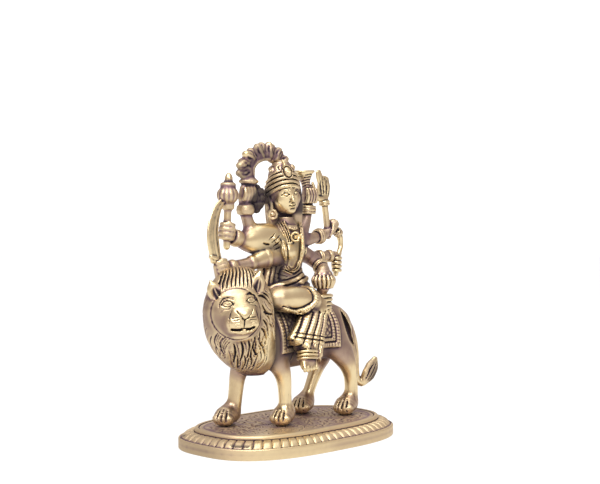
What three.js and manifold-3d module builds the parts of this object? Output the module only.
// Durga seated on her lion: a cast brass altar figure on an oval lotus plinth.
// Millimetres, Z up, origin on the ground under the middle of the plinth.
// The lion walks towards -X and the goddess faces -Y.
import * as THREE from "three";
import { mergeVertices } from "three/addons/utils/BufferGeometryUtils.js";
import Module from "manifold-3d";

const wasm = await Module();
wasm.setup();

// Driving sizes of the figure.
const FIGURE_HEIGHT = 153.5; // soles of the lion to the top of the lotus spray
const SOLE_GAP = 0.3; // the figure stands this far above the plate

// Driving sizes of the plinth.
const PLINTH_LENGTH = 130; // along X, over the lower lip
const PLINTH_WIDTH = 82; // along Y, over the lower lip
const LIP_HEIGHT = 6; // plain upright lip round the foot
const LEDGE = 1.5; // flat step between lip and petals
const PETAL_HEIGHT = 3.2; // sloping band of lotus petals
const PETAL_RUN = 6.2; // how far the petal band leans in
const PETAL_COUNT = 56;
const PETAL_RELIEF = 0.9; // depth of the grooves between petals
const RIM_HEIGHT = 2.2; // rounded moulding round the plate
const RIM_WIDTH = 2.6;
const PLATE_DROP = 0.5; // the plate lies this far below the rim
const OUTLINE_POWER = 2.8; // 2 is an ellipse, larger is squarer
const FOOT_WALL = 4; // wall of the hollow foot, at the ground
const PLATE_THICKNESS = 3.2; // metal left above the hollow

const BAND_TOP = LIP_HEIGHT + PETAL_HEIGHT;
const RIM_TOP = BAND_TOP + RIM_HEIGHT;
const PLATE_TOP = RIM_TOP - PLATE_DROP;
const HOLLOW_TOP = PLATE_TOP - PLATE_THICKNESS;
const SOLE = PLATE_TOP + SOLE_GAP;

// The stations of the figure are written at the size of the first model, whose soles
// lie at 11.5 and whose top is at 165. They scale as one with FIGURE_HEIGHT.
const MODEL_SOLE = 11.5;
const MODEL_HEIGHT = 153.5;
const K = FIGURE_HEIGHT / MODEL_HEIGHT;

const spot = (x, y, z) => new THREE.Vector3(x * K, y * K, SOLE + (z - MODEL_SOLE) * K);

// A closed body through rings of points, with a cap to a tip at each end.
function loft(rings, startTip, endTip) {
  const count = rings[0].length;
  const positions = [];
  for (const ring of rings) {
    for (const point of ring) {
      positions.push(point.x, point.y, point.z);
    }
  }
  positions.push(startTip.x, startTip.y, startTip.z);
  positions.push(endTip.x, endTip.y, endTip.z);
  const start = rings.length * count;
  const end = start + 1;
  const last = (rings.length - 1) * count;
  const faces = [];
  for (let r = 0; r + 1 < rings.length; r += 1) {
    for (let i = 0; i < count; i += 1) {
      const a = r * count + i;
      const b = r * count + ((i + 1) % count);
      faces.push(a, b, a + count, b, b + count, a + count);
    }
  }
  for (let i = 0; i < count; i += 1) {
    const j = (i + 1) % count;
    faces.push(start, j, i, end, last + i, last + j);
  }
  return closedGeometry(positions, faces);
}

// The geometry of a closed body, turned so that its faces point out.
function closedGeometry(positions, faces) {
  const corner = (i) => new THREE.Vector3().fromArray(positions, i * 3);
  let volume = 0;
  for (let f = 0; f < faces.length; f += 3) {
    const a = corner(faces[f]);
    volume += a.dot(corner(faces[f + 1]).cross(corner(faces[f + 2])));
  }
  const turned = volume < 0 ? faces.toReversed() : faces;
  const geometry = new THREE.BufferGeometry();
  geometry.setAttribute("position", new THREE.Float32BufferAttribute(positions, 3));
  geometry.setIndex(turned);
  return geometry;
}

function solid(geometry) {
  const plain = geometry.clone();
  plain.deleteAttribute("normal");
  plain.deleteAttribute("uv");
  const merged = mergeVertices(plain, 1e-4);
  const mesh = new wasm.Mesh({
    numProp: 3,
    vertProperties: new Float32Array(merged.attributes.position.array),
    triVerts: new Uint32Array(merged.index.array),
  });
  return new wasm.Manifold(mesh);
}

function geometryOf(manifold) {
  const mesh = manifold.getMesh();
  const geometry = new THREE.BufferGeometry();
  geometry.setAttribute("position", new THREE.BufferAttribute(mesh.vertProperties, 3));
  geometry.setIndex(new THREE.BufferAttribute(mesh.triVerts, 1));
  return geometry;
}

// A limb through stations [x, y, z, half width, half depth]. The depth lies towards the
// given direction. An end that shows is rounded, and form(angle) swells or grooves it.
function limb(stations, options = {}) {
  const sides = options.sides ?? 6;
  const toward = new THREE.Vector3(...(options.toward ?? [0, 1, 0]));
  const form = options.form ?? (() => 1);
  const round = options.round ?? 0;
  const spine = stations.map(([x, y, z]) => spot(x, y, z));
  const rings = [];
  const frameAt = (i) => {
    const before = spine[Math.max(i - 1, 0)];
    const after = spine[Math.min(i + 1, spine.length - 1)];
    const along = after.clone().sub(before).normalize();
    const across = toward.clone().cross(along).normalize();
    const deep = along.clone().cross(across).normalize();
    return { along, across, deep };
  };
  const ringAt = (centre, frame, a, b) => {
    const ring = [];
    for (let i = 0; i < sides; i += 1) {
      const angle = (2 * Math.PI * (i + 0.5)) / sides;
      const swell = form(angle) * K;
      const point = centre.clone();
      point.addScaledVector(frame.across, Math.cos(angle) * a * swell);
      point.addScaledVector(frame.deep, Math.sin(angle) * b * swell);
      ring.push(point);
    }
    return ring;
  };
  const bulge = ([, , , a, b = a]) => Math.min(a, b) * (round > 0 ? round : 0.4) * K;
  const first = stations[0];
  const final = stations[stations.length - 1];
  const startFrame = frameAt(0);
  const endFrame = frameAt(spine.length - 1);
  const startTip = spine[0].clone().addScaledVector(startFrame.along, -bulge(first));
  const endTip = spine[spine.length - 1].clone().addScaledVector(endFrame.along, bulge(final));
  stations.forEach(([, , , a, b = a], i) => {
    rings.push(ringAt(spine[i], frameAt(i), a, b));
  });
  if (round > 0) {
    const startRing = spine[0].clone().lerp(startTip, 0.62);
    const endRing = spine[spine.length - 1].clone().lerp(endTip, 0.62);
    rings.unshift(ringAt(startRing, startFrame, first[3] * 0.75, (first[4] ?? first[3]) * 0.75));
    rings.push(ringAt(endRing, endFrame, final[3] * 0.75, (final[4] ?? final[3]) * 0.75));
  }
  return solid(loft(rings, startTip, endTip));
}

// An egg at a point, with its half sizes along X, Y and Z.
function egg(x, y, z, a, b = a, c = a, segments = 8) {
  const geometry = new THREE.SphereGeometry(1, segments, Math.ceil(segments / 2));
  geometry.rotateX(Math.PI / 2);
  geometry.scale(a * K, b * K, c * K);
  const centre = spot(x, y, z);
  geometry.translate(centre.x, centre.y, centre.z);
  return solid(geometry);
}

const join = (parts) => parts.reduce((whole, part) => whole.add(part));

// A fist round an upright shaft: four fingers as four swellings, one above the other.
function fist(x, y, z, a, b, c) {
  const stations = [];
  for (let i = 0; i <= 8; i += 1) {
    const swell = i % 2 ? 1.2 : 1;
    stations.push([x, y, z - c + (i * c) / 4, a * swell, b * swell]);
  }
  return limb(stations, { sides: 4 });
}

// Waves round a limb, for locks of hair, flutes and pleats.
const flutes = (count, depth) => (angle) => 1 + depth * Math.sin(count * angle);

// ---- The lion -------------------------------------------------------------------

const LION_MID = 2; // the lion's middle plane
const LOCK_COUNT = 8; // pointed locks round the face
const COMB_COUNT = 8; // upright locks over the brow
const PLEAT_COUNT = 10; // pleats round the hanging skirt
const FACE_TURN = THREE.MathUtils.degToRad(-32); // the face looks to the front left
const faceAhead = new THREE.Vector3(Math.sin(FACE_TURN), -Math.cos(FACE_TURN), 0);
const faceSide = new THREE.Vector3(-faceAhead.y, faceAhead.x, 0);
const HEAD = new THREE.Vector3(-40.4, -1.8, 73.8);

// A point of the lion's head: to its left as one looks at it, ahead of it, and up.
function onHead(side, ahead, up) {
  const x = HEAD.x + faceSide.x * side + faceAhead.x * ahead;
  const y = HEAD.y + faceSide.y * side + faceAhead.y * ahead;
  return [x, y, HEAD.z + up];
}

const bodyStations = [
  [-37, 61, 9.5, 13],
  [-27, 58.5, 12, 17],
  [-12, 57.5, 12.5, 17],
  [8, 57.5, 12, 16.8],
  [24, 58.5, 11.8, 15.5],
  [34, 58.5, 12, 15.3],
  [40, 57.5, 9.5, 13],
  [43.5, 56.5, 5, 8],
];

function lionBody(grow = 0) {
  const stations = bodyStations.map(([x, z, a, b]) => [x, LION_MID, z, a + grow, b + grow]);
  return limb(stations, { sides: 12, toward: [0, 0, 1] });
}

// A paw with its middle at x, y, pointing to -X.
function paw(x, y) {
  return limb([[x + 4.5, y, 15.6, 5.2, 4.2], [x, y, 15.4, 5.9, 4.6], [x - 3.6, y, 14.8, 5.6, 3.8]],
    { sides: 7, toward: [0, 0, 1], round: 0.7 });
}

function lionLegs() {
  return join([
    // right foreleg, on the far side, set forward
    limb([[-24, 8, 55, 9, 7], [-26, 10.5, 44, 6, 5.5], [-27.5, 12, 37, 4.7], [-29, 12, 27, 4.3],
      [-30, 12, 17, 4.4]]),
    paw(-34, 12),
    // left foreleg, on the near side
    limb([[-16, -3, 57, 9, 6], [-14.5, -7, 46, 6.6, 5.4], [-12.5, -8, 37, 4.4], [-11.5, -8, 27, 3.6],
      [-11, -8, 17, 4]]),
    paw(-12.5, -8),
    // right hind leg, on the far side, swung forward
    limb([[33, 7, 56, 10, 7], [35, 10.5, 44, 6.5, 6], [34, 12, 38, 4.6], [30, 12, 30, 3.5],
      [27, 12, 23, 3.4], [25.5, 12, 17, 3.8]]),
    paw(22.5, 12),
    // left hind leg, on the near side
    limb([[31, -3, 57, 10.5, 7], [33, -6.5, 49, 8.8, 5.8], [39, -8, 40, 5.4, 5], [41.8, -8, 32, 3.6],
      [42.5, -8, 25, 3.6], [41.5, -8, 17, 4.2]]),
    paw(37.5, -8),
  ]);
}

function lionTail() {
  const root = limb([[34, 1, 72.5, 2.2], [39.5, 0, 69.5, 2.2], [45.2, -2, 62.5, 2.2], [48.6, -3, 54, 2.2],
    [50.4, -3.5, 45, 2], [50.8, -3.5, 36, 1.9], [51.5, -3.8, 29.5, 2.1], [54.2, -5, 27.2, 2.2],
    [56.4, -6, 29.5, 2.4]], { sides: 6 });
  const leaf = limb([[55.4, -5.6, 28.5, 2.6, 2], [58, -6.8, 32, 3.8, 2.6], [60.4, -7.6, 36.5, 3.8, 2.4],
    [62.2, -8.2, 41, 1.8, 1.4]], { sides: 8, form: flutes(4, 0.06) });
  return root.add(leaf);
}

// The mane: a smooth mass, a comb of upright locks over the brow and pointed locks
// that run out from the face and down to the beard.
function mane() {
  const mass = limb([
    [-29, 0, 44.5, 8, 8],
    [-31, -0.5, 49, 13.6, 12.5],
    [-34.5, -1, 57, 17.8, 15.5],
    [-37, -1.5, 66, 19.6, 17],
    [-38, -1.5, 75, 19.6, 17],
    [-38, -1.5, 83, 17.4, 15.5],
    [-37.5, -1, 89, 13.5, 12.5],
    [-37, 0, 93, 9, 8],
  ], { sides: 16, round: 0.3 });
  const locks = [];
  for (let i = 0; i < LOCK_COUNT; i += 1) {
    const angle = THREE.MathUtils.degToRad(-50 + (i * 165) / (LOCK_COUNT - 1));
    const side = Math.cos(angle);
    const down = Math.sin(angle);
    const beard = Math.max(down, 0);
    const place = (radius, longer, ahead) => {
      const reach = radius + longer * beard;
      return onHead(side * reach, ahead, -down * reach - 1);
    };
    const inner = place(14.4, 0.4, 11.5 + 1.5 * beard);
    const middle = place(17.6, 3.2, 8.4 + 2 * beard);
    const outer = place(20, 7, 1.6 + 3 * beard);
    locks.push(limb([[...inner, 2.4, 1.6], [...middle, 3, 2], [...outer, 0.9, 0.9]],
      { sides: 4, toward: faceAhead.toArray() }));
  }
  const comb = [];
  for (let i = 0; i < COMB_COUNT; i += 1) {
    const swing = (2 * i) / (COMB_COUNT - 1) - 1;
    const low = onHead(swing * 11 + 1, 11, 13.5 - 2.2 * swing * swing);
    const high = onHead(swing * 8.5 + 1.5, 2.6, 21 - 1.5 * swing * swing);
    comb.push(limb([[...low, 1.5, 1.8], [...high, 1.4, 2.4]], { sides: 4, toward: faceAhead.toArray() }));
  }
  return join([mass, ...locks, ...comb]);
}

function lionFace() {
  const disc = limb([
    [...onHead(0, 0, 0), 14.5, 15.5],
    [...onHead(0, 9, 0), 14.2, 15],
    [...onHead(0, 13, 0), 12.6, 13.6],
    [...onHead(0, 15, 0), 9.5, 10.6],
  ], { sides: 12, toward: [0, 0, 1], round: 0.12 });
  const muzzle = limb([
    [...onHead(0.5, 12, -7), 8.4, 6.6],
    [...onHead(0.5, 16.5, -6.5), 7.2, 5.6],
    [...onHead(0.6, 19.3, -5.8), 5.4, 4.2],
  ], { sides: 8, toward: [0, 0, 1], round: 0.3 });
  const chin = egg(...onHead(0.3, 14.5, -12), 5.6, 5.6, 2.8);
  const bridge = limb([
    [...onHead(0.3, 13, 9), 4.2, 2.4],
    [...onHead(0.4, 16, 3), 3.2, 2.4],
    [...onHead(0.6, 19, -2), 3.4, 2.2],
  ], { sides: 6, toward: faceAhead.toArray() });
  const eyes = [
    egg(...onHead(-5.8, 14, 4.8), 3, 3, 1.9, 6),
    egg(...onHead(6.4, 14, 5.8), 3, 3, 1.9, 6),
  ];
  const ear = (side, up, lean) => limb([
    [...onHead(side * 0.8, 3, up - 5), 3.6, 2.2],
    [...onHead(side, 3, up), 3.6, 2],
    [...onHead(side + lean, 3, up + 4.5), 1.5, 1.2],
  ], { sides: 6, toward: faceAhead.toArray() });
  return join([disc, muzzle, chin, bridge, ...eyes, ear(-13.5, 12, -1.2), ear(10.5, 17, 1.2)]);
}

function saddleCloth() {
  const cover = lionBody(1.3);
  const block = new THREE.BoxGeometry(46 * K, 40 * K, 22 * K);
  const middle = spot(6.5, LION_MID, 61.5);
  block.translate(middle.x, middle.y, middle.z);
  return cover.intersect(solid(block));
}

// ---- The goddess ----------------------------------------------------------------

function torso() {
  return join([
    // seat, rolled sash at the waist, bodice and shoulders
    limb([[3, 3, 76, 12, 10.5], [3, 3, 83, 12.6, 10.8], [3, 2.9, 87, 11.6, 9.4], [3, 2.8, 88.6, 11.8, 9.6],
      [3, 2.7, 91, 11.4, 9.2], [2.8, 2.6, 92.4, 8.6, 7.2], [2.6, 2.4, 97, 8, 6.6], [2.5, 2.2, 104, 9.4, 7.2],
      [2.5, 2.4, 110, 11, 7.2], [2.5, 3, 116, 10.5, 6], [2.5, 3.2, 120, 5.4, 4.4]], { sides: 10 }),
    // neck with its collar
    limb([[2.2, 2.6, 118, 3.6], [2.3, 1.9, 121.4, 4.8], [2.2, 2, 123.2, 4.6], [2.1, 2.4, 124, 3.3],
      [2, 2.4, 129, 3.3]]),
    egg(-1.6, -2.8, 103, 4, 3.8, 4),
    egg(6.2, -2.8, 103, 4, 3.8, 4),
    egg(3.4, -4.2, 114, 3.2, 1.4, 3.6, 6),
  ]);
}

function legs() {
  return join([
    // right leg, folded flat on the saddle: thigh, shin and foot
    limb([[0, 0, 82, 7.5, 7], [-9, -5, 81.5, 7.4, 6.8], [-15.5, -8, 81, 6.4, 6], [-18.5, -9, 80.6, 4.4]],
      { toward: [0, 0, 1], round: 0.6 }),
    limb([[-15, -10, 80.5, 5.4, 6], [-7, -12.2, 80.5, 5.2, 6.4], [1, -12.6, 79.5, 5.2, 6.2],
      [6.5, -12.6, 78, 5, 6.2], [7.5, -12.4, 77.6, 3.9, 4.6], [14, -12.4, 76.6, 3.6, 4.6],
      [20, -12.4, 76.2, 3.2, 4.8], [23, -12.2, 76, 2.6, 4.6]], { toward: [0, 0, 1], sides: 8 }),
    // left leg hanging, inside a pleated skirt
    limb([[10, 0, 80, 8, 7], [10, -7, 77.5, 8, 6.5], [8, -11, 73, 8, 5.5]], { toward: [0, 0, 1] }),
    limb([[8.6, -11.5, 72, 9.8, 5], [6, -13.5, 66, 10.4, 5], [2.5, -15, 59, 11.4, 5],
      [-1.5, -16.2, 52.4, 12.6, 5]], { sides: PLEAT_COUNT * 2, form: flutes(PLEAT_COUNT, 0.06) }),
    // anklet and foot, toes down
    limb([[-0.5, -17, 52, 3.6], [-1, -17.6, 50, 4.8], [-1.4, -18, 47.6, 4.8], [-2, -18.4, 46.6, 3.8],
      [-2.4, -19, 44, 4.8, 3.2], [-2.8, -19.8, 40.4, 4.8, 2.4]]),
  ]);
}

function head() {
  return join([
    limb([[2.9, -0.6, 127.6, 2.6, 2.6], [1.9, 0.6, 129.6, 4.8, 4.8], [0.9, 2, 133, 6.2, 6.4],
      [0.1, 3, 137, 6.6, 7], [-0.6, 3.8, 141, 6.4, 6.8]], { sides: 8 }),
    // nose
    limb([[2.6, -3.6, 136.6, 0.8, 1], [3.4, -5.2, 131.4, 1.4, 1.4]], { sides: 5 }),
    // crown: three tiara bands under a cone, with a leaf in front
    limb([[0, 3, 137.6, 6.8, 7.2], [-0.1, 3.1, 138.4, 8, 8.4], [-0.5, 3.6, 140.6, 7.8, 8.2],
      [-0.6, 3.7, 141, 7.2, 7.6], [-0.8, 3.9, 142, 7.7, 8.1], [-1, 4.2, 143.6, 7.4, 7.8],
      [-1.1, 4.3, 144, 6.8, 7.2], [-1.3, 4.5, 145, 7.2, 7.4], [-1.6, 4.8, 146.8, 6.6, 6.8],
      [-2.4, 5.6, 150, 5.2, 5.4], [-3.4, 6.6, 154, 4, 4.2], [-4, 7.4, 158, 3.2, 3.2]], { sides: 8 }),
    limb([[2.8, -3.2, 142.8, 2.2, 1.4], [2.4, -2, 147, 2.9, 1.4], [1.2, 0, 152, 1, 1]], { sides: 6 }),
    // hair down the back and behind the ears
    limb([[-1.6, 8.5, 144, 6.5, 4], [-2.4, 9.4, 134, 8, 4.6], [-2, 8.6, 124, 8.6, 4.2],
      [-1, 7.4, 114, 8, 3.4]]),
    limb([[-6.6, 5.6, 142, 2.4, 3], [-7.8, 6, 132, 2.8, 3.4], [-8.8, 6, 120, 3, 3.4]], { sides: 5 }),
    limb([[6.6, 6, 142, 2.2, 3], [8.4, 6.4, 132, 2.6, 3.4], [10, 6, 120, 2.6, 3.4]], { sides: 5 }),
    // petal earrings
    egg(-7.8, 3.4, 127.4, 3.2, 2.6, 4, 6),
    egg(9.4, 3.4, 127, 2.8, 2.6, 3.6, 6),
  ]);
}

function rightArms() {
  return join([
    // shared shoulder of the upper arms
    limb([[1, 4, 112, 7.4, 5.6], [-9, 5.4, 113, 7.8, 5.6], [-16.5, 6.8, 113, 7, 5],
      [-21.4, 7.6, 113.4, 4.4, 3.8]], { sides: 8, round: 0.5 }),
    // first arm, raised: forearm, bangle, hand, and the collar that holds the spray
    limb([[-19.5, 7.6, 114, 4.4, 3.8], [-22.6, 8, 121, 3.4], [-24.7, 8, 126.2, 3.3], [-24.9, 8, 127, 5, 4.6],
      [-25, 8, 130, 5, 4.6], [-25.1, 8, 130.6, 3.8], [-25.2, 8, 133, 4]]),
    fist(-25.2, 8, 136.4, 4.4, 3.8, 4.4),
    limb([[-24.4, 8, 139.6, 3], [-22.8, 8, 142.4, 4.4], [-22.6, 8, 143.6, 5.4], [-22.5, 8, 145, 5.2],
      [-22.5, 8, 146, 3.4]]),
    // second arm, to the side, with the mace
    limb([[-19, 7.2, 110, 4.6, 4], [-25, 7.8, 110.6, 3.8], [-30.6, 8, 112.6, 3.5],
      [-31.2, 8, 112.9, 4.9, 4.5], [-33.2, 8, 113.8, 4.9, 4.5], [-34, 8, 114.2, 3.8], [-39, 7.8, 116.6, 3.6]]),
    fist(-39.6, 7.6, 117.4, 4.3, 3.8, 5),
    limb([[-38.4, 8, 119, 2.6], [-37.6, 8, 129.6, 2.6], [-37.5, 8, 130.6, 3.7], [-37.4, 8, 132.4, 3.4],
      [-37.4, 8, 133.8, 4.6], [-37.4, 8, 136.4, 5.9], [-37.3, 8, 139, 4.4], [-37.2, 8, 140, 3.6],
      [-37.2, 8, 141, 4.2], [-37.1, 8, 142.6, 3.6], [-37, 8, 143.6, 2.2], [-37, 8, 145.6, 2],
      [-37, 8, 147.4, 0.8]]),
    // third arm, low, with the curved sword
    limb([[0, 3, 103, 6.2, 5], [-9, 3.2, 103, 6, 4.8], [-17, 3.4, 101.4, 5.8, 4.6],
      [-26, 4, 99.4, 3.6], [-38, 5, 98.2, 3.2], [-45, 5, 98, 3.6]]),
    fist(-44.6, 5, 98, 5, 4, 4.6),
    limb([[-46, 5, 92.6, 2.4], [-48, 5, 99, 3], [-49, 5, 103, 4, 2.6], [-49.3, 5, 104.4, 3.3, 1.6],
      [-51, 5, 110, 2.7, 1.4], [-51.8, 5.2, 116, 2.4, 1.3], [-50.2, 5.6, 123, 2.1, 1.2],
      [-46.4, 6.2, 129.2, 1.8, 1.1], [-42, 7, 133.4, 1.4, 1.1]], { sides: 6 }),
    // fourth hand, raised before the breast
    limb([[-10, 1, 106.5, 3, 2.4], [-8.5, -1.4, 110, 2.8, 2.4], [-6.6, -2.6, 113.6, 2.4, 2],
      [-5.2, -2.6, 117, 1.5, 1.2]]),
  ]);
}

// The paired buds of the spray, from the first right hand over to the crown.
function lotusSpray() {
  const buds = [[-28, 151, -109], [-25, 156.5, -72], [-18.4, 160.4, -34], [-10.8, 162, -3],
    [-3.6, 160.6, 26], [1.6, 157.6, 54]];
  const parts = [
    limb([[-22.4, 8, 145, 2.8], [-22.6, 8, 151, 2.9], [-20, 8, 155.2, 2.8], [-14, 8, 158, 2.6],
      [-8, 8, 158.2, 2.6], [-3.6, 8, 156, 3]], { sides: 6 }),
    limb([[-23, 8, 146.6, 2.4], [-27.4, 8, 147.2, 3, 2.4], [-30.6, 8, 148.4, 1.4]], { sides: 5 }),
  ];
  for (const [x, z, lean] of buds) {
    const angle = THREE.MathUtils.degToRad(lean);
    const dx = Math.sin(angle);
    const dz = Math.cos(angle);
    for (const [shift, y] of [[-2.1, 8.4], [2.1, 7.6]]) {
      const cx = x + dz * shift;
      const cz = z - dx * shift;
      parts.push(limb([[cx - dx * 3, y, cz - dz * 3, 2.2, 2.8], [cx, y, cz, 2.8, 3.6],
        [cx + dx * 2.6, y, cz + dz * 2.6, 1.4, 2]], { sides: 4 }));
    }
  }
  return join(parts);
}

function leftArms() {
  return join([
    // first arm, raised: forearm, bangle, hand and conch
    limb([[9, 4.4, 113, 5.6, 4.6], [15, 6, 115, 4.8, 4], [19.5, 7.4, 119.5, 3.2], [22.4, 8, 125.8, 2.8],
      [22.6, 8, 126.6, 5, 4.4], [22.8, 8, 129.6, 5, 4.4], [22.9, 8, 130.4, 3.4], [23, 8, 133, 3.8]]),
    fist(23.2, 8, 136.6, 4.4, 3.8, 4.6),
    limb([[22, 8, 140, 2.6], [21.2, 8, 143.6, 2.8], [20.4, 8, 147.6, 5, 4.4], [20.2, 8, 150, 6.2, 4.8]]),
    // second arm, out to the side, with the trident
    limb([[11, 4.4, 110, 6, 4.6], [19, 6, 111, 4, 3.8], [27, 7.4, 112, 3.2], [30.4, 7.8, 112.6, 3],
      [30.8, 7.8, 112.7, 4.4, 4], [33, 8, 112.9, 4.4, 4], [33.6, 8, 113, 3], [38, 8, 114.6, 3],
      [42.6, 8, 117.6, 3.6], [44, 8, 120.8, 2.8]]),
    limb([[39.4, 8, 113.6, 2.2], [37.8, 8, 124, 2], [36.6, 8, 131, 2.2], [36.4, 8, 131.8, 3.2],
      [36.2, 8, 133, 3.2, 2.2], [35.6, 8, 136.4, 5.2, 2], [35.6, 8, 142, 5, 1.8], [36.8, 8, 147.4, 1.8, 1.2]],
      { sides: 6 }),
    limb([[32.4, 8, 136, 2, 1.8], [31.4, 8, 143, 2, 1.6], [30.9, 8, 149.6, 1.1, 1.1]], { sides: 5 }),
    limb([[32, 8, 134.2, 1.6], [28, 8, 136.4, 1.5], [27, 8, 140.4, 1.3], [26.2, 8, 143.2, 0.8]],
      { sides: 5 }),
    // third arm, with the bow
    limb([[11, 4, 104.5, 6, 4.6], [18, 4.4, 102.6, 4.4, 4], [25, 5, 101, 3.6, 3.2], [35, 5.8, 101.4, 2.8],
      [43.4, 6, 101.4, 3]]),
    fist(43, 5.4, 96, 3.1, 3, 5.6),
    limb([[46.2, 7, 114.4, 2.2], [48.2, 7, 112.4, 2], [48.8, 6.8, 107, 1.6], [45.4, 6.2, 101, 1.7]],
      { sides: 5 }),
    // fourth arm, its hand over a small lotus above the knee
    limb([[18, 3.4, 102, 4.4, 4], [22.6, -0.6, 97.4, 3.8], [22, -5, 95, 3.6], [18.6, -9.2, 92, 4.6]],
      { toward: [0, 0, 1] }),
    limb([[16.4, -9.6, 80, 3.2], [16.8, -10.4, 86, 4.4], [17, -10.6, 88, 6.2, 5.4], [16.8, -10.6, 91.4, 6.4, 5.6],
      [16.8, -10, 94, 3.6, 3.2]], { sides: 12, form: flutes(6, 0.05) }),
  ]);
}

// A closed flower between the raised right hand and the hair.
function closedLotus() {
  return join([
    limb([[-16.6, 8.4, 128.4, 2.8], [-16.5, 8.6, 132, 4.6, 4], [-16.3, 8.6, 137, 4.6, 4],
      [-16.2, 8.8, 140.2, 2.8]], { sides: 12, form: flutes(6, 0.06) }),
    limb([[-21, 8, 134, 2.6], [-8, 9, 134, 2.6]], { sides: 5, toward: [0, 0, 1] }),
  ]);
}

function figure() {
  const whole = join([
    lionBody(), lionLegs(), lionTail(), mane(), lionFace(), saddleCloth(),
    torso(), legs(), head(), rightArms(), lotusSpray(), leftArms(), closedLotus(),
  ]);
  // the soles are cut flat where they meet the plate
  const below = new THREE.BoxGeometry(400 * K, 400 * K, 100 * K);
  below.translate(0, 0, SOLE - 50 * K);
  return whole.subtract(solid(below));
}

// ---- The plinth -----------------------------------------------------------------

// Angles that step round the squarish oval by equal lengths.
function evenAngles(halfLength, halfWidth, count) {
  const fine = 4000;
  const point = (t) => {
    const c = Math.cos(t);
    const s = Math.sin(t);
    const power = 2 / OUTLINE_POWER;
    return [halfLength * Math.sign(c) * Math.abs(c) ** power, halfWidth * Math.sign(s) * Math.abs(s) ** power];
  };
  const lengths = [0];
  for (let i = 1; i <= fine; i += 1) {
    const [x0, y0] = point((2 * Math.PI * (i - 1)) / fine);
    const [x1, y1] = point((2 * Math.PI * i) / fine);
    lengths.push(lengths[i - 1] + Math.hypot(x1 - x0, y1 - y0));
  }
  const angles = [];
  let at = 0;
  for (let k = 0; k < count; k += 1) {
    const goal = (lengths[fine] * k) / count;
    while (lengths[at + 1] < goal) {
      at += 1;
    }
    const share = (goal - lengths[at]) / (lengths[at + 1] - lengths[at]);
    angles.push((2 * Math.PI * (at + share)) / fine);
  }
  return angles;
}

function plinth() {
  const sides = PETAL_COUNT * 2;
  const halfLength = PLINTH_LENGTH / 2;
  const halfWidth = PLINTH_WIDTH / 2;
  const angles = evenAngles(halfLength, halfWidth, sides);
  const power = 2 / OUTLINE_POWER;
  // inset from the outer lip, height, and how much of the petal relief shows there
  const profile = [
    [FOOT_WALL + 4, HOLLOW_TOP, 0],
    [FOOT_WALL, 0, 0],
    [0, 0, 0],
    [0, LIP_HEIGHT, 0],
    [LEDGE, LIP_HEIGHT, 0.3],
    [LEDGE + PETAL_RUN * 0.3, LIP_HEIGHT + PETAL_HEIGHT * 0.7, 1],
    [LEDGE + PETAL_RUN, BAND_TOP, 0],
    [LEDGE + PETAL_RUN + RIM_WIDTH * 0.3, RIM_TOP, 0],
    [LEDGE + PETAL_RUN + RIM_WIDTH, PLATE_TOP, 0],
  ];
  const rings = profile.map(([inset, z, relief]) => angles.map((t, i) => {
    const c = Math.cos(t);
    const s = Math.sin(t);
    const groove = relief * (i % 2) * PETAL_RELIEF;
    const x = (halfLength - inset - groove) * Math.sign(c) * Math.abs(c) ** power;
    const y = (halfWidth - inset - groove) * Math.sign(s) * Math.abs(s) ** power;
    return new THREE.Vector3(x, y, z - groove * 0.5);
  }));
  const startTip = new THREE.Vector3(0, 0, HOLLOW_TOP);
  const endTip = new THREE.Vector3(0, 0, PLATE_TOP);
  return solid(loft(rings, startTip, endTip));
}

function mesh(name, manifold, colour, roughness) {
  const material = new THREE.MeshStandardMaterial({ color: colour, roughness, metalness: 1 });
  const result = new THREE.Mesh(geometryOf(manifold), material);
  result.name = name;
  return result;
}

const durga = new THREE.Group();
durga.name = "durga_figure";
durga.add(mesh("durga_on_lion", figure(), 0xbfa46a, 0.34));
durga.add(mesh("plinth", plinth(), 0xa98f62, 0.42));

export default durga;
